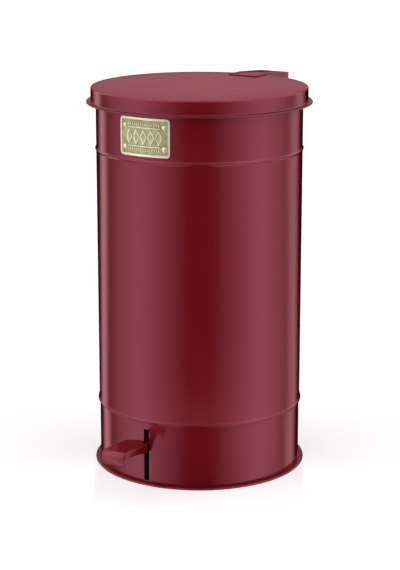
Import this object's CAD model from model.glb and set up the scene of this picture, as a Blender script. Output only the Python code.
import math
import bpy
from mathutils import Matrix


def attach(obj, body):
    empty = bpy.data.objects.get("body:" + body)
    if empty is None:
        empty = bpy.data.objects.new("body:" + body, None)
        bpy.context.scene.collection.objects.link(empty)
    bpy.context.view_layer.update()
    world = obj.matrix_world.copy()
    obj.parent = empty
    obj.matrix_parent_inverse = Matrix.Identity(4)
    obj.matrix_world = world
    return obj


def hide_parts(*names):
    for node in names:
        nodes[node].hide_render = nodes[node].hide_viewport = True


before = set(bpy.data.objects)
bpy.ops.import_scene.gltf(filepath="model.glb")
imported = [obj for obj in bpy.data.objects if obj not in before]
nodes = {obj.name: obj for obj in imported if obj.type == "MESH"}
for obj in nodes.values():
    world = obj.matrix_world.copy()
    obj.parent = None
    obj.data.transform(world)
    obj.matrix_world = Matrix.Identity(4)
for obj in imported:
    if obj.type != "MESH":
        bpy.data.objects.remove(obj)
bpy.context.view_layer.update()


# ---- Base plate ----
# The bottom of the can is one pressed steel disc. Its rim is folded flat into a foot
# flange that stands on the floor, and the base drum is seamed onto it just inside.
# It is stoved with the same wine-red enamel as the rest of the bin.

def arc(r, z, size, start, end, count):
    """Points of a circular arc in (radius, height), angles in degrees."""
    turns = [math.radians(start + (end - start) * i / count) for i in range(count + 1)]
    return [(r + size * math.cos(a), z + size * math.sin(a)) for a in turns]


def begin(kind, name, stretch=(1, 1, 1), **sizes):
    """Adds a primitive with nothing else selected, its size and place kept in its mesh."""
    if bpy.context.object and bpy.context.object.mode != "OBJECT":
        bpy.ops.object.mode_set(mode="OBJECT")
    bpy.ops.object.select_all(action="DESELECT")
    getattr(bpy.ops.mesh, f"primitive_{kind}_add")(**sizes)
    piece = bpy.context.object
    piece.name = name
    piece.scale = stretch
    bpy.ops.object.transform_apply(location=True, rotation=True, scale=True)
    return piece


def pick(piece, wanted, of="VERT"):
    """Selects, in edit mode, the vertices, edges or faces whose middle passes wanted."""
    bpy.ops.object.mode_set(mode="EDIT")
    bpy.ops.mesh.select_mode(type=of)
    bpy.ops.mesh.select_all(action="DESELECT")
    bpy.ops.object.mode_set(mode="OBJECT")
    mesh = piece.data
    if of == "VERT":
        for v in mesh.vertices:
            v.select = wanted(v.co)
    elif of == "EDGE":
        for e in mesh.edges:
            a, b = (mesh.vertices[i].co for i in e.vertices)
            e.select = wanted((a + b) / 2)
    else:
        for f in mesh.polygons:
            f.select = wanted(f.center)
    bpy.ops.object.mode_set(mode="EDIT")


def smooth(piece, angle=35):
    """Object mode, soft shading, hard only where the sheet really turns a corner."""
    bpy.ops.object.mode_set(mode="OBJECT")
    bpy.ops.object.select_all(action="DESELECT")
    piece.select_set(True)
    bpy.context.view_layer.objects.active = piece
    bpy.ops.object.shade_smooth_by_angle(angle=math.radians(angle))


def turned(name, start, *ways, steps=230):
    """A ring at start, drawn out along each way of (radius, height) points, as on a lathe.
    A way closes at a pole when it ends on the axis, and into a wall when it comes back."""
    piece = begin("circle", name, vertices=steps, radius=start[0], location=(0, 0, start[1]))
    for way in ways:
        pick(piece, lambda p: abs(p.z - start[1]) < 1e-6 and abs(p.xy.length - start[0]) < 1e-6)
        r, z = start
        for to_r, to_z in way:
            bpy.ops.mesh.extrude_region_move(TRANSFORM_OT_translate={"value": (0, 0, to_z - z)})
            if abs(to_r - r) > 1e-9:
                grow = to_r / r
                bpy.ops.transform.resize(value=(grow, grow, 1), center_override=(0, 0, to_z))
            r, z = to_r, to_z
    bpy.ops.mesh.select_all(action="SELECT")
    bpy.ops.mesh.remove_doubles(threshold=1e-6)
    bpy.ops.mesh.normals_make_consistent(inside=False)
    smooth(piece)
    return piece


def finish(piece, kind, **settings):
    """Adds a modifier and applies it."""
    bpy.ops.object.select_all(action="DESELECT")
    piece.select_set(True)
    bpy.context.view_layer.objects.active = piece
    step = piece.modifiers.new(kind.lower(), kind)
    for key, value in settings.items():
        setattr(step, key, value)
    bpy.ops.object.modifier_apply(modifier=step.name)


def belongs(piece, body, slot, material, *replaced):
    """Puts the piece on its body, in place of the CAD nodes it stands for."""
    piece.data.materials.clear()
    piece.data.materials.append(material)
    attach(piece, body)
    if replaced:
        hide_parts(*replaced)


def material(name):
    """An empty material: its node tree, its shader and a maker of linked nodes."""
    made = bpy.data.materials.new(name)
    made.use_nodes = True
    tree = made.node_tree
    shader = tree.nodes["Principled BSDF"]

    def add(kind, inputs=None, **settings):
        node = tree.nodes.new(kind)
        for key, value in settings.items():
            setattr(node, key, value)
        for key, value in (inputs or {}).items():
            if isinstance(value, bpy.types.NodeSocket):
                tree.links.new(value, node.inputs[key])
            else:
                node.inputs[key].default_value = value
        return node

    return made, tree, shader, add


def wine_enamel():
    """Stoved gloss enamel: deep wine red, a faint orange peel, slightly uneven gloss,
    and so thin where it has drawn back from the edges that the dark primer shows."""
    made, tree, shader, add = material("wine_enamel")
    place = add("ShaderNodeTexCoord").outputs["Object"]
    cloud = add("ShaderNodeTexNoise", {"Vector": place, "Scale": 7.0, "Detail": 3.0})
    depth = add("ShaderNodeValToRGB", {"Fac": cloud.outputs["Fac"]})
    depth.color_ramp.elements[0].position = 0.3
    depth.color_ramp.elements[0].color = (0.176, 0.0046, 0.0066, 1)
    depth.color_ramp.elements[1].position = 0.7
    depth.color_ramp.elements[1].color = (0.192, 0.0053, 0.0076, 1)
    rounded = add("ShaderNodeBevel", {"Radius": 0.0022}, samples=6)
    plain = add("ShaderNodeNewGeometry").outputs["Normal"]
    turn = add("ShaderNodeVectorMath", {0: rounded.outputs[0], 1: plain}, operation="DOT_PRODUCT")
    edge = add("ShaderNodeMapRange", {"Value": turn.outputs["Value"], "From Min": 0.99,
                                      "From Max": 0.80, "To Min": 0.0, "To Max": 0.70})
    worn = add("ShaderNodeMix", {"Factor": edge.outputs[0]}, data_type="RGBA")
    tree.links.new(depth.outputs["Color"], worn.inputs[6])
    worn.inputs[7].default_value = (0.045, 0.002, 0.004, 1)
    tree.links.new(worn.outputs[2], shader.inputs["Base Color"])
    haze = add("ShaderNodeTexNoise", {"Vector": place, "Scale": 35.0, "Detail": 4.0})
    gloss = add("ShaderNodeMapRange", {"Value": haze.outputs["Fac"], "To Min": 0.13, "To Max": 0.21})
    tree.links.new(gloss.outputs[0], shader.inputs["Roughness"])
    peel = add("ShaderNodeTexNoise", {"Vector": place, "Scale": 520.0, "Detail": 2.0})
    bump = add("ShaderNodeBump", {"Height": peel.outputs["Fac"], "Strength": 0.05, "Distance": 0.0004})
    tree.links.new(bump.outputs[0], shader.inputs["Normal"])
    facing = add("ShaderNodeLayerWeight", {"Blend": 0.5}).outputs["Facing"]
    sheen = add("ShaderNodeMapRange", {"Value": facing, "From Min": 0.40, "From Max": 0.90, "To Max": 0.72})
    tree.links.new(sheen.outputs[0], shader.inputs["Metallic"])
    shader.inputs["IOR"].default_value = 2.0
    shader.inputs["Specular Tint"].default_value = (1.0, 0.34, 0.50, 1)
    return made


enamel = wine_enamel()

foot_r, foot_h = 0.1305, 0.0025
foot_inside = 0.1162
panel_top, panel_under = 0.0045, 0.0037
drum_r, drum_high = 0.1242, 0.0920
fold = foot_h / 2
seat = drum_r - 0.0009
base_plate = turned(
    "bottom_plate", (foot_inside, 0.0),
    [(foot_r - fold, 0.0)]
    + arc(foot_r - fold, fold, fold, -90, 90, 8)
    + [(drum_r + 0.0012, foot_h), (seat, foot_h), (seat, panel_top), (0.0, panel_top)],
    [(foot_inside - 0.0012, panel_under - 0.0003), (foot_inside - 0.0020, panel_under), (0.0, panel_under)],
)
belongs(base_plate, "can", "paint", enamel, "base_plate")


# ---- Base drum ----
# A short sheet-steel ring that lifts the bucket clear of the lever. A tall narrow slot is
# cut in front for the pedal and one at the back for the lever's tail. It slips up inside
# the main tube and is spot-welded there.

wall = 0.0008
slot_half = 0.0030
slot_low, slot_high = panel_top, 0.0690
drum = turned("lower_drum", (drum_r, foot_h), [(drum_r, z) for z in (slot_low, slot_high, drum_high)])
pick(drum, lambda p: abs(p.x) < slot_half and slot_low < p.z < slot_high, of="FACE")
bpy.ops.mesh.delete(type="FACE")
smooth(drum)
finish(drum, "SOLIDIFY", thickness=wall, offset=-1)
finish(drum, "BEVEL", width=0.00015, segments=2, limit_method="ANGLE", angle_limit=math.radians(50))
smooth(drum)
belongs(drum, "can", "paint", enamel, "base_drum")


# ---- Main tube ----
# The body is one sheet rolled round and seam-welded at the back, with a swaged bead near
# the top and another over the joint with the drum. Its mouth is curled outwards over a
# wire so that the edge is round and stiff.

tube_r = 0.1250


def bead(r, z, rise, width, count=12):
    """A rolled bead: a smooth swell in the wall."""
    spots = [2 * i / count - 1 for i in range(count + 1)]
    return [(r + rise * 0.5 * (1 + math.cos(math.pi * s)), z + s * width / 2) for s in spots]


tube_foot, bead_z, rim_z = 0.0770, 0.3940, 0.4598
curl = 0.0022
curl_start = 230.5
tube = turned(
    "main_tube", (tube_r - wall, tube_foot),
    [(tube_r + out, tube_foot + up) for out, up in (
        (0.0002, 0), (0.0011, 0.0008), (0.0015, 0.0023), (0.0012, 0.0036), (0.0003, 0.0047), (0, 0.0054))]
    + bead(tube_r, bead_z, 0.0013, 0.0056)
    + arc(tube_r - wall + curl, rim_z, curl, curl_start, 540, 24)
    + [(tube_r - wall, tube_foot)],
)
belongs(tube, "can", "paint", enamel, "body_tube")


# ---- Side seam ----
# Where the rolled sheet meets, behind and a little to one side, the lap is resistance
# welded and rolled flat. It shows through the enamel as a narrow raised band.

seam_turn = math.radians(206)
seam_low, seam_high = 0.0832, 0.3872
seam = begin("cube", "side_seam", (0.0050, 0.0006, seam_high - seam_low), size=1,
             location=(0, -tube_r - 0.00005, (seam_low + seam_high) / 2))
finish(seam, "BEVEL", width=0.00028, segments=3)
bpy.ops.object.mode_set(mode="EDIT")
bpy.ops.mesh.select_all(action="SELECT")
bpy.ops.transform.rotate(value=-seam_turn, orient_axis="Z", center_override=(0, 0, 0))
smooth(seam)
belongs(seam, "can", "paint", enamel)


# ---- Lid ----
# A flat pressed lid with a short straight skirt that drops over the curled rim. The foot
# of the skirt is folded out into a flat hem, which stiffens it and is what fingers lift.

lid_r, lid_top = 0.1311, 0.4680
hem_r, hem_z = 0.1365, 0.4488
hem_fold = 0.0010
root_r = 0.0015
edge_r = 0.0020
lid = turned(
    "flat_lid", (lid_r - wall, hem_z),
    [(hem_r - hem_fold, hem_z)]
    + arc(hem_r - hem_fold, hem_z + hem_fold, hem_fold, -90, 90, 8)
    + arc(lid_r + root_r, hem_z + 2 * hem_fold + root_r, root_r, 270, 180, 6)
    + arc(lid_r - edge_r, lid_top - edge_r, edge_r, 0, 90, 10)
    + [(0.085, lid_top), (0.04, lid_top), (0.0, lid_top)],
    [(lid_r - wall, lid_top - edge_r)]
    + arc(lid_r - edge_r, lid_top - edge_r, edge_r - wall, 0, 90, 5)
    + [(0.06, lid_top - wall), (0.0, lid_top - wall)],
)
belongs(lid, "lid", "paint", enamel, "lid_cap")


# ---- Hinge strap ----
# A strip of thicker steel spot-welded across the back of the lid. It runs out level behind
# the can and its sides are folded down into ears that hang on the hinge pin.

strap_w, strap_t = 0.0400, 0.0012
strap_front, strap_bend, ear_start = 0.1041, 0.1331, 0.1380
fall = math.tan(math.radians(4.5))
pin_y, pin_z, pin_hole = 0.1720, 0.4550, 0.00305
strap_rows = [strap_front + 0.004, strap_bend, ear_start] + [ear_start + 0.0040 * i for i in range(1, 14)]
strap = begin("plane", "lid_strap", (strap_w, 0.001, 1), size=1,
              location=(0, strap_front + 0.0005, lid_top + strap_t))
y = strap_front + 0.001
z = lid_top + strap_t
pick(strap, lambda p: p.y > y - 1e-5)
for row in strap_rows:
    drop = z - (lid_top + strap_t - max(0.0, row - strap_bend) * fall)
    bpy.ops.mesh.extrude_region_move(TRANSFORM_OT_translate={"value": (0, row - y, -drop)})
    y, z = row, z - drop
pick(strap, lambda p: abs(p.x) > strap_w / 2 - 1e-5 and p.y > ear_start - 1e-5, of="EDGE")
bpy.ops.mesh.extrude_region_move(TRANSFORM_OT_translate={"value": (0, 0, -0.0015)})
bpy.ops.mesh.extrude_region_move(TRANSFORM_OT_translate={"value": (0, 0, -0.0065)})
bpy.ops.object.mode_set(mode="OBJECT")
boss = 0.0085
for v in strap.data.vertices:
    top = lid_top + strap_t - max(0.0, v.co.y - strap_bend) * fall
    if v.co.z < top - 0.005:
        away = v.co.y - pin_y
        if abs(away) < boss * 0.77:
            v.co.z = pin_z - math.sqrt(boss * boss - away * away)
        elif away > 0:
            v.co.z = pin_z - 0.0055 * max(0.0, 1 - (away - boss * 0.77) / 0.0115)
        else:
            v.co.z = pin_z - 0.0055 + 0.0070 * min(1.0, (-away - boss * 0.77) / 0.0275)
finish(strap, "SOLIDIFY", thickness=strap_t, offset=-1)
drill = begin("cylinder", "drill", vertices=40, radius=pin_hole, depth=strap_w + 0.010,
              location=(0, pin_y, pin_z), rotation=(0, math.pi / 2, 0))
finish(strap, "BOOLEAN", object=drill, operation="DIFFERENCE", solver="EXACT")
bpy.data.objects.remove(drill)
finish(strap, "BEVEL", width=0.00045, segments=3, limit_method="ANGLE", angle_limit=math.radians(40))
smooth(strap, 40)
belongs(strap, "lid", "paint", enamel, "hinge_strap")


# ---- Pedal tread ----
# One steel pressing: a flat tread with soft edges, its front drawn down into a rounded
# nose that ends in a rolled bead, its sides folded down, and its back corners drawn in
# to a tail that is welded along the top edge of the lever bar. Enamelled with the lever.

tilt, rake = math.radians(7.2452), math.radians(3.75)
fulcrum_y, fulcrum_z = -0.0250, 0.0354852
tread_half, tread_t = 0.0150, 0.0015
tread_corner = 0.0050
tail_half = 0.0040
tail_len = tread_half - tread_corner - tail_half
span = tail_len + 0.0510
nose_h, nose_out = 0.0166, 0.0030
nose_r = (nose_h * nose_h / 4 + nose_out * nose_out) / 2 / nose_out
front_arm, seat_h = 0.1730, 0.0082
wing_front, wing_drop = 0.0080, 0.0012
tail_end = nose_out + span - front_arm / math.cos(tilt)
flat_back = -tail_len - tread_corner
tread = begin("plane", "foot_tread", (2 * tread_half, span + flat_back, 1), size=1,
              location=(0, (flat_back - span) / 2, tread_t))
rows = [(flat_back + tread_corner * math.sin(math.radians(a)),
         tread_half - tread_corner + tread_corner * math.cos(math.radians(a))) for a in range(10, 91, 10)]
rows += [(-tail_len * math.cos(math.radians(a)), tail_half + tail_len * (1 - math.sin(math.radians(a))))
         for a in range(10, 91, 10)]
y, half = flat_back, tread_half
pick(tread, lambda p: p.y > y - 1e-6)
for to_y, to_half in rows:
    bpy.ops.mesh.extrude_region_move(TRANSFORM_OT_translate={"value": (0, to_y - y, 0)})
    bpy.ops.transform.resize(value=(to_half / half, 1, 1), center_override=(0, to_y, tread_t))
    y, half = to_y, to_half
swell = math.degrees(math.asin(nose_h / 2 / nose_r))
nose = [(-span + nose_r - nose_out - nose_r * math.cos(math.radians(a)),
         tread_t - nose_h / 2 + nose_r * math.sin(math.radians(a)))
        for a in [swell * (1 - i / 7) for i in range(1, 14)]]
pick(tread, lambda p: p.y < -span + 1e-6)
y, z = -span, tread_t
for to_y, to_z in nose:
    bpy.ops.mesh.extrude_region_move(TRANSFORM_OT_translate={"value": (0, to_y - y, to_z - z)})
    y, z = to_y, to_z
pick(tread, lambda p: abs(p.x) > tread_half - 1e-6 and -span < p.y < flat_back, of="EDGE")
bpy.ops.mesh.extrude_region_move(TRANSFORM_OT_translate={"value": (0, 0, -0.0020)})
bpy.ops.mesh.extrude_region_move(TRANSFORM_OT_translate={"value": (0, 0, 0.0020 - wing_front)})
bpy.ops.object.mode_set(mode="OBJECT")
for v in tread.data.vertices:
    if abs(v.co.z - (tread_t - wing_front)) < 1e-6 and v.co.y > flat_back - 1e-6:
        v.co.z -= wing_drop
finish(tread, "SOLIDIFY", thickness=tread_t, offset=-1)
pick(tread, lambda p: abs(p.x) > tread_half - 1e-5 and abs(p.z - tread_t) < 1e-6, of="EDGE")
bpy.ops.mesh.bevel(offset=0.0011, segments=4)
bpy.ops.object.mode_set(mode="OBJECT")
finish(tread, "BEVEL", width=0.0004, segments=2, limit_method="ANGLE", angle_limit=math.radians(32))
rolled = begin("cylinder", "nose_bead", vertices=20, radius=0.0014, depth=2 * tread_half - 0.0002,
               location=(0, -span + 0.0006, tread_t - nose_h + 0.0006), rotation=(0, math.pi / 2, 0))
finish(rolled, "BEVEL", width=0.0004, segments=2, limit_method="ANGLE", angle_limit=math.radians(50))
bpy.ops.object.select_all(action="DESELECT")
rolled.select_set(True)
tread.select_set(True)
bpy.context.view_layer.objects.active = tread
bpy.ops.object.join()
bpy.ops.object.mode_set(mode="EDIT")
bpy.ops.mesh.select_all(action="SELECT")
bpy.ops.transform.rotate(value=-rake, orient_axis="X", center_override=(0, 0, 0))
bpy.ops.transform.translate(value=(0, tail_end, seat_h))
bpy.ops.transform.rotate(value=tilt, orient_axis="X", center_override=(0, 0, 0))
bpy.ops.transform.translate(value=(0, fulcrum_y, fulcrum_z))
smooth(tread, 40)
belongs(tread, "pedal", "paint", enamel, "pedal_tread")


# ---- Enamelled fittings ----
# The lever bar, the hinge bracket with its pin, the lug under the strap, the two rod guides
# and the rivets are plain steel, and go through the same enamel as the body once fitted.

def repaint(finish_material, *names):
    for name in names:
        piece = nodes[name]
        piece.data.materials.clear()
        piece.data.materials.append(finish_material)


repaint(enamel, "pedal_lever", "hinge_bracket", "rod_guide_upper", "rod_guide_lower",
        "bracket_rivets", "guide_rivets", "lift_lug", "hinge_pin", "hinge_clip")


# ---- Inner bucket ----
# A tapered galvanised liner with a wired rim and two pressed rings, which lifts out to be
# emptied. It stands on the false floor. Hot-dip zinc leaves a pattern of large dull and
# bright crystals, and it scuffs along the rings and the rim.

def galvanised_sheet():
    made, tree, shader, add = material("galvanised_sheet")
    place = add("ShaderNodeTexCoord").outputs["Object"]
    warp = add("ShaderNodeTexNoise", {"Vector": place, "Scale": 60.0, "Detail": 3.0})
    bent = add("ShaderNodeVectorMath", {0: warp.outputs["Color"], 1: (0.012, 0.012, 0.012)},
               operation="MULTIPLY")
    moved = add("ShaderNodeVectorMath", {0: place, 1: bent.outputs[0]}, operation="ADD")
    crystal = add("ShaderNodeTexVoronoi", {"Vector": moved.outputs[0], "Scale": 85.0})
    grey = add("ShaderNodeSeparateColor", {"Color": crystal.outputs["Color"]})
    tone = add("ShaderNodeValToRGB", {"Fac": grey.outputs[0]})
    tone.color_ramp.elements[0].color = (0.40, 0.42, 0.44, 1)
    tone.color_ramp.elements[1].color = (0.62, 0.64, 0.65, 1)
    tree.links.new(tone.outputs["Color"], shader.inputs["Base Color"])
    dull = add("ShaderNodeMapRange", {"Value": grey.outputs[1], "To Min": 0.28, "To Max": 0.46})
    tree.links.new(dull.outputs[0], shader.inputs["Roughness"])
    grain = add("ShaderNodeTexNoise", {"Vector": place, "Scale": 700.0, "Detail": 3.0})
    bump = add("ShaderNodeBump", {"Height": grain.outputs["Fac"], "Strength": 0.12, "Distance": 0.0003})
    tree.links.new(bump.outputs[0], shader.inputs["Normal"])
    shader.inputs["Metallic"].default_value = 0.9
    return made


zinc = galvanised_sheet()

bucket_foot, bucket_rim = 0.0980, 0.1070
bucket_low, bucket_high = 0.0760, 0.4378


def bucket_wall(z):
    return bucket_foot + (bucket_rim - bucket_foot) * (z - bucket_low) / (bucket_high - bucket_low)


def ring_on_wall(z):
    return [(bucket_wall(q) + (r - 1.0), q) for r, q in bead(1.0, z, 0.0010, 0.0070)]


bucket = turned(
    "inner_bucket", (bucket_foot - 0.0010, bucket_low),
    [(bucket_foot - 0.0003, bucket_low + 0.0003), (bucket_wall(0.0770), 0.0770)]
    + ring_on_wall(0.1150) + ring_on_wall(0.3300)
    + arc(bucket_rim - wall + curl, bucket_high, curl, curl_start, 540, 20)
    + [(bucket_wall(0.0785) - wall, 0.0785), (bucket_foot - 0.0018, 0.0768), (0.0, 0.0768)],
    [(0.05, bucket_low), (0.0, bucket_low)],
)
belongs(bucket, "can", "galvanised", zinc, "bucket")
repaint(zinc, "false_floor", "bail_ears")


# ---- Bright fittings ----
# Lift rod, its clips, bail wire, spacers, fulcrum bracket and pin are zinc-plated steel,
# drawn or stamped, and left unpainted because they rub. The plating is fine-grained and
# brushed by handling.

def plated_steel():
    made, tree, shader, add = material("plated_steel")
    place = add("ShaderNodeTexCoord").outputs["Object"]
    long = add("ShaderNodeMapping", {"Vector": place, "Scale": (900.0, 900.0, 60.0)})
    drawn = add("ShaderNodeTexNoise", {"Vector": long.outputs[0], "Scale": 1.0, "Detail": 4.0})
    stain = add("ShaderNodeTexNoise", {"Vector": place, "Scale": 28.0, "Detail": 5.0})
    tone = add("ShaderNodeValToRGB", {"Fac": stain.outputs["Fac"]})
    tone.color_ramp.elements[0].position = 0.35
    tone.color_ramp.elements[0].color = (0.46, 0.46, 0.45, 1)
    tone.color_ramp.elements[1].position = 0.68
    tone.color_ramp.elements[1].color = (0.66, 0.67, 0.68, 1)
    tree.links.new(tone.outputs["Color"], shader.inputs["Base Color"])
    rub = add("ShaderNodeMapRange", {"Value": drawn.outputs["Fac"], "To Min": 0.22, "To Max": 0.42})
    tree.links.new(rub.outputs[0], shader.inputs["Roughness"])
    bump = add("ShaderNodeBump", {"Height": drawn.outputs["Fac"], "Strength": 0.10, "Distance": 0.0002})
    tree.links.new(bump.outputs[0], shader.inputs["Normal"])
    shader.inputs["Metallic"].default_value = 1.0
    return made


repaint(plated_steel(), "lift_rod", "rod_clips", "fulcrum_bracket",
        "fulcrum_rivets", "fulcrum_pin", "fulcrum_clip", "lever_spacers", "bail_wire")


# ---- Grip and buffers ----
# The bail's grip is a moulded black plastic sleeve with a fine spark-eroded texture. The
# lid closes on three small rubber buttons stuck inside it, which take up some dust.

def black_moulding(name, tone, rough):
    made, tree, shader, add = material(name)
    place = add("ShaderNodeTexCoord").outputs["Object"]
    dust = add("ShaderNodeTexNoise", {"Vector": place, "Scale": 45.0, "Detail": 6.0})
    shade = add("ShaderNodeValToRGB", {"Fac": dust.outputs["Fac"]})
    shade.color_ramp.elements[0].position = 0.4
    shade.color_ramp.elements[0].color = (tone, tone, tone * 1.05, 1)
    shade.color_ramp.elements[1].position = 0.8
    shade.color_ramp.elements[1].color = (tone * 2.2, tone * 2.2, tone * 2.3, 1)
    tree.links.new(shade.outputs["Color"], shader.inputs["Base Color"])
    spark = add("ShaderNodeTexNoise", {"Vector": place, "Scale": 1500.0, "Detail": 2.0})
    bump = add("ShaderNodeBump", {"Height": spark.outputs["Fac"], "Strength": 0.25, "Distance": 0.0002})
    tree.links.new(bump.outputs[0], shader.inputs["Normal"])
    gloss = add("ShaderNodeMapRange", {"Value": dust.outputs["Fac"], "To Min": rough - 0.08,
                                       "To Max": rough + 0.08})
    tree.links.new(gloss.outputs[0], shader.inputs["Roughness"])
    return made


repaint(black_moulding("grip_plastic", 0.022, 0.45), "bail_grip")
repaint(black_moulding("buffer_rubber", 0.018, 0.75), "lid_buffers")


# ---- Nameplate ----
# A stamped brass plate curved to the tube, with a raised border and a sunk, darkened field.
# The relief is a plain geometric pattern: lozenges between two rows of short bars. Handling
# keeps the raised parts bright while lacquer and grime settle in the field.

plate_w, plate_h = 0.0670, 0.0450
plate_z = 0.4230
plate_back = tube_r
plate_field = tube_r + 0.0010
plate_border = tube_r + 0.0016


def wrap_round_tube(piece):
    """Cuts the flat piece into narrow strips and lays them round the tube's axis."""
    bpy.ops.object.mode_set(mode="OBJECT")
    bpy.ops.object.select_all(action="DESELECT")
    piece.select_set(True)
    bpy.context.view_layer.objects.active = piece
    low = min(v.co.x for v in piece.data.vertices)
    high = max(v.co.x for v in piece.data.vertices)
    bpy.ops.object.mode_set(mode="EDIT")
    strips = int((high - low) / 0.0020)
    for i in range(1, strips):
        bpy.ops.mesh.select_all(action="SELECT")
        bpy.ops.mesh.bisect(plane_co=(low + (high - low) * i / strips, 0, 0), plane_no=(1, 0, 0))
    bpy.ops.object.mode_set(mode="OBJECT")
    for v in piece.data.vertices:
        turn, out = v.co.x / tube_r, -v.co.y
        v.co.x, v.co.y = out * math.sin(turn), -out * math.cos(turn)


def brass():
    made, tree, shader, add = material("lacquered_brass")
    place = add("ShaderNodeTexCoord").outputs["Object"]
    parts = add("ShaderNodeSeparateXYZ", {"Vector": place})
    flat = add("ShaderNodeCombineXYZ", {"X": parts.outputs["X"], "Y": parts.outputs["Y"]})
    out = add("ShaderNodeVectorMath", {0: flat.outputs[0]}, operation="LENGTH")
    raised = add("ShaderNodeMapRange", {"Value": out.outputs["Value"], "From Min": plate_field + 0.0001,
                                        "From Max": plate_field + 0.0004})
    grime = add("ShaderNodeTexNoise", {"Vector": place, "Scale": 160.0, "Detail": 6.0})
    sunk = add("ShaderNodeValToRGB", {"Fac": grime.outputs["Fac"]})
    sunk.color_ramp.elements[0].position = 0.35
    sunk.color_ramp.elements[0].color = (0.40, 0.38, 0.17, 1)
    sunk.color_ramp.elements[1].position = 0.72
    sunk.color_ramp.elements[1].color = (0.66, 0.64, 0.36, 1)
    bright = add("ShaderNodeValToRGB", {"Fac": grime.outputs["Fac"]})
    bright.color_ramp.elements[0].position = 0.3
    bright.color_ramp.elements[0].color = (1.0, 0.87, 0.60, 1)
    bright.color_ramp.elements[1].position = 0.7
    bright.color_ramp.elements[1].color = (1.0, 0.95, 0.76, 1)
    tone = add("ShaderNodeMix", {"Factor": raised.outputs[0]}, data_type="RGBA")
    tree.links.new(sunk.outputs["Color"], tone.inputs[6])
    tree.links.new(bright.outputs["Color"], tone.inputs[7])
    nook = add("ShaderNodeAmbientOcclusion", {"Distance": 0.0016}, samples=8)
    dirt = add("ShaderNodeMapRange", {"Value": nook.outputs["AO"], "From Min": 0.45, "From Max": 0.95,
                                      "To Min": 0.85, "To Max": 0.0})
    dirty = add("ShaderNodeMix", {"Factor": dirt.outputs[0]}, data_type="RGBA")
    tree.links.new(tone.outputs[2], dirty.inputs[6])
    dirty.inputs[7].default_value = (0.10, 0.085, 0.035, 1)
    tree.links.new(dirty.outputs[2], shader.inputs["Base Color"])
    matt = add("ShaderNodeMapRange", {"Value": raised.outputs[0], "To Min": 0.48, "To Max": 0.26})
    tree.links.new(matt.outputs[0], shader.inputs["Roughness"])
    stipple = add("ShaderNodeTexNoise", {"Vector": place, "Scale": 1300.0, "Detail": 2.0})
    bump = add("ShaderNodeBump", {"Height": stipple.outputs["Fac"], "Strength": 0.20, "Distance": 0.0002})
    tree.links.new(bump.outputs[0], shader.inputs["Normal"])
    shader.inputs["Metallic"].default_value = 0.6
    return made


brass_finish = brass()

plate = begin("plane", "brass_plate", (plate_w, plate_h, 1), size=1,
              location=(0, -plate_border, plate_z), rotation=(math.pi / 2, 0, 0))
bpy.ops.object.mode_set(mode="EDIT")
bpy.ops.mesh.select_all(action="SELECT")
bpy.ops.mesh.bevel(offset=0.0040, segments=8, affect="VERTICES")
bpy.ops.mesh.select_all(action="SELECT")
bpy.ops.mesh.inset(thickness=0.0026)
bpy.ops.mesh.inset(thickness=0.0004)
bpy.ops.transform.translate(value=(0, plate_border - plate_field, 0))
bpy.ops.mesh.select_all(action="SELECT")
bpy.ops.mesh.region_to_loop()
bpy.ops.mesh.extrude_region_move(TRANSFORM_OT_translate={"value": (0, plate_border - plate_back, 0)})
bpy.ops.mesh.edge_face_add()
bpy.ops.mesh.select_all(action="SELECT")
bpy.ops.mesh.normals_make_consistent(inside=False)
wrap_round_tube(plate)
smooth(plate, 30)
belongs(plate, "can", "plate_brass", brass_finish, "nameplate")

relief = []
for rule_z in (plate_z - 0.0108, plate_z + 0.0108):
    bar = begin("cube", "rule", (0.0440, 0.0009, 0.0011), size=1,
                location=(0, -plate_field - 0.00010, rule_z))
    finish(bar, "BEVEL", width=0.00025, segments=2)
    relief.append(bar)
for step in (-2, -1, 0, 1, 2):
    lozenge = begin("cylinder", "lozenge", (0.54, 1, 1), vertices=4, radius=0.0090, depth=0.0010,
                    location=(step * 0.0099, -plate_field - 0.00005, plate_z), rotation=(math.pi / 2, 0, 0))
    pick(lozenge, lambda p: p.y < -plate_field - 0.0003, of="FACE")
    bpy.ops.mesh.inset(thickness=0.0019)
    bpy.ops.transform.translate(value=(0, 0.00050, 0))
    bpy.ops.object.mode_set(mode="OBJECT")
    finish(lozenge, "BEVEL", width=0.00015, segments=2)
    relief.append(lozenge)
for side in (-1, 1):
    for step in range(15):
        stud = begin("cube", "stud", (0.0013, 0.0009, 0.0032), size=1,
                     location=((step - 7) * 0.0029, -plate_field - 0.00010, plate_z + side * 0.0147))
        finish(stud, "BEVEL", width=0.0003, segments=2)
        relief.append(stud)
bpy.ops.object.select_all(action="DESELECT")
for bar in relief:
    bar.select_set(True)
bpy.context.view_layer.objects.active = relief[0]
bpy.ops.object.join()
pattern = bpy.context.object
pattern.name = "plate_relief"
wrap_round_tube(pattern)
smooth(pattern, 30)
belongs(pattern, "can", "plate_brass", brass_finish)
repaint(brass_finish, "nameplate_screws")


# ---- Studio ----
# The bin stands on a pale seamless floor. Two broad soft lights wrap round it from left
# and right with a dark gap at the camera, a narrow one edges each side from behind, and
# a small lamp high up behind it shines down on the lid.

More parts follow.
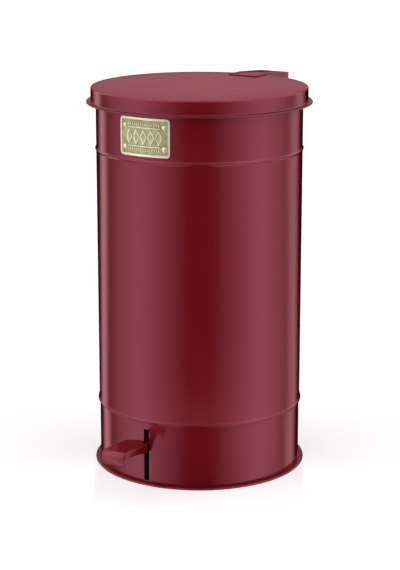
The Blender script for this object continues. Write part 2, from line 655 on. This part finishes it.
floor = begin("plane", "studio_floor", size=24)
paper, tree, shader, add = material("floor_paper")
place = add("ShaderNodeTexCoord").outputs["Object"]
mottle = add("ShaderNodeTexNoise", {"Vector": place, "Scale": 3.0, "Detail": 2.0})
tone = add("ShaderNodeValToRGB", {"Fac": mottle.outputs["Fac"]})
tone.color_ramp.elements[0].color = (0.74, 0.74, 0.74, 1)
tone.color_ramp.elements[1].color = (0.78, 0.78, 0.78, 1)
tree.links.new(tone.outputs["Color"], shader.inputs["Base Color"])
shader.inputs["Roughness"].default_value = 0.6
looked_at = add("ShaderNodeLightPath").outputs["Is Camera Ray"]
glow = add("ShaderNodeMath", {0: looked_at, 1: 0.45}, operation="MULTIPLY")
tree.links.new(glow.outputs[0], shader.inputs["Emission Strength"])
shader.inputs["Emission Color"].default_value = (1, 1, 1, 1)
floor.data.materials.append(paper)
floor.visible_glossy = False

view_turn = math.radians(30.85)
world = bpy.data.worlds.new("studio")
bpy.context.scene.world = world
world.use_nodes = True
tree = world.node_tree


def term(kind, inputs, **settings):
    """One node of the studio light, each input linked or set."""
    node = tree.nodes.new(kind)
    for key, value in settings.items():
        setattr(node, key, value)
    for key, value in inputs.items():
        if isinstance(value, bpy.types.NodeSocket):
            tree.links.new(value, node.inputs[key])
        else:
            node.inputs[key].default_value = value
    return node.outputs["Value" if kind == "ShaderNodeVectorMath" else 0]


def fade(value, dark, bright, strength):
    """Light that grows evenly from nothing at dark to its strength at bright."""
    return term("ShaderNodeMapRange", {"Value": value, "From Min": dark, "From Max": bright,
                                       "To Max": strength})


def both(a, b, operation="ADD"):
    return term("ShaderNodeMath", {0: a, 1: b}, operation=operation)


away = tree.nodes.new("ShaderNodeTexCoord").outputs["Generated"]
ahead = term("ShaderNodeVectorMath", {0: away, 1: (math.sin(view_turn), -math.cos(view_turn), 0)},
             operation="DOT_PRODUCT")
aside = term("ShaderNodeVectorMath", {0: away, 1: (math.cos(view_turn), math.sin(view_turn), 0)},
             operation="DOT_PRODUCT")
upward = term("ShaderNodeVectorMath", {0: away, 1: (0, 0, 1)}, operation="DOT_PRODUCT")
bearing = both(aside, ahead, "ARCTAN2")


def tall_light(middle, reach, core, strength):
    """A soft light from floor to ceiling round the bearing middle, in degrees."""
    off = both(both(bearing, math.radians(middle), "SUBTRACT"), 0.0, "ABSOLUTE")
    return fade(off, math.radians(reach), math.radians(core), strength)


light = fade(upward, 0.02, 0.08, 0.38)
for panel in (tall_light(-70, 56, 6, 1.10), tall_light(70, 56, 6, 1.15),
              tall_light(-136, 14, 3, 1.45), tall_light(130, 18, 4, 0.95)):
    light = both(light, panel)
overhead = bpy.data.lights.new("overhead", "AREA")
overhead.size = 0.25
overhead.spread = math.radians(12)
overhead.energy = 1.2
lamp = bpy.data.objects.new("overhead", overhead)
bpy.context.scene.collection.objects.link(lamp)
lamp_behind, lamp_high, lamp_lean = 1.35, 1.95, math.radians(42)
lamp.location = (-lamp_behind * math.sin(view_turn), lamp_behind * math.cos(view_turn), lamp_high)
lamp.rotation_euler = (-lamp_lean, 0, view_turn)
lamp.visible_camera = False
lamp.visible_glossy = False
soft = tree.nodes["Background"]
tree.links.new(light, soft.inputs["Strength"])
soft.inputs["Color"].default_value = (1, 1, 1, 1)
white = tree.nodes.new("ShaderNodeBackground")
white.inputs["Color"].default_value = (1, 1, 1, 1)
mix = tree.nodes.new("ShaderNodeMixShader")
tree.links.new(tree.nodes.new("ShaderNodeLightPath").outputs["Is Camera Ray"], mix.inputs[0])
tree.links.new(soft.outputs[0], mix.inputs[1])
tree.links.new(white.outputs[0], mix.inputs[2])
tree.links.new(mix.outputs[0], tree.nodes["World Output"].inputs["Surface"])

lens = bpy.data.cameras.new("camera")
lens.sensor_width = 36
lens.lens = 111.85
lens.clip_end = 50
camera = bpy.data.objects.new("camera", lens)
bpy.context.scene.collection.objects.link(camera)
view_away, view_high, view_down = 2.122, 0.7576, math.radians(14.2)
camera.location = (view_away * math.sin(view_turn), -view_away * math.cos(view_turn), view_high)
camera.rotation_euler = (math.pi / 2 - view_down, 0, view_turn - 0.0003)
bpy.context.scene.camera = camera
bpy.context.scene.view_settings.view_transform = "Standard"
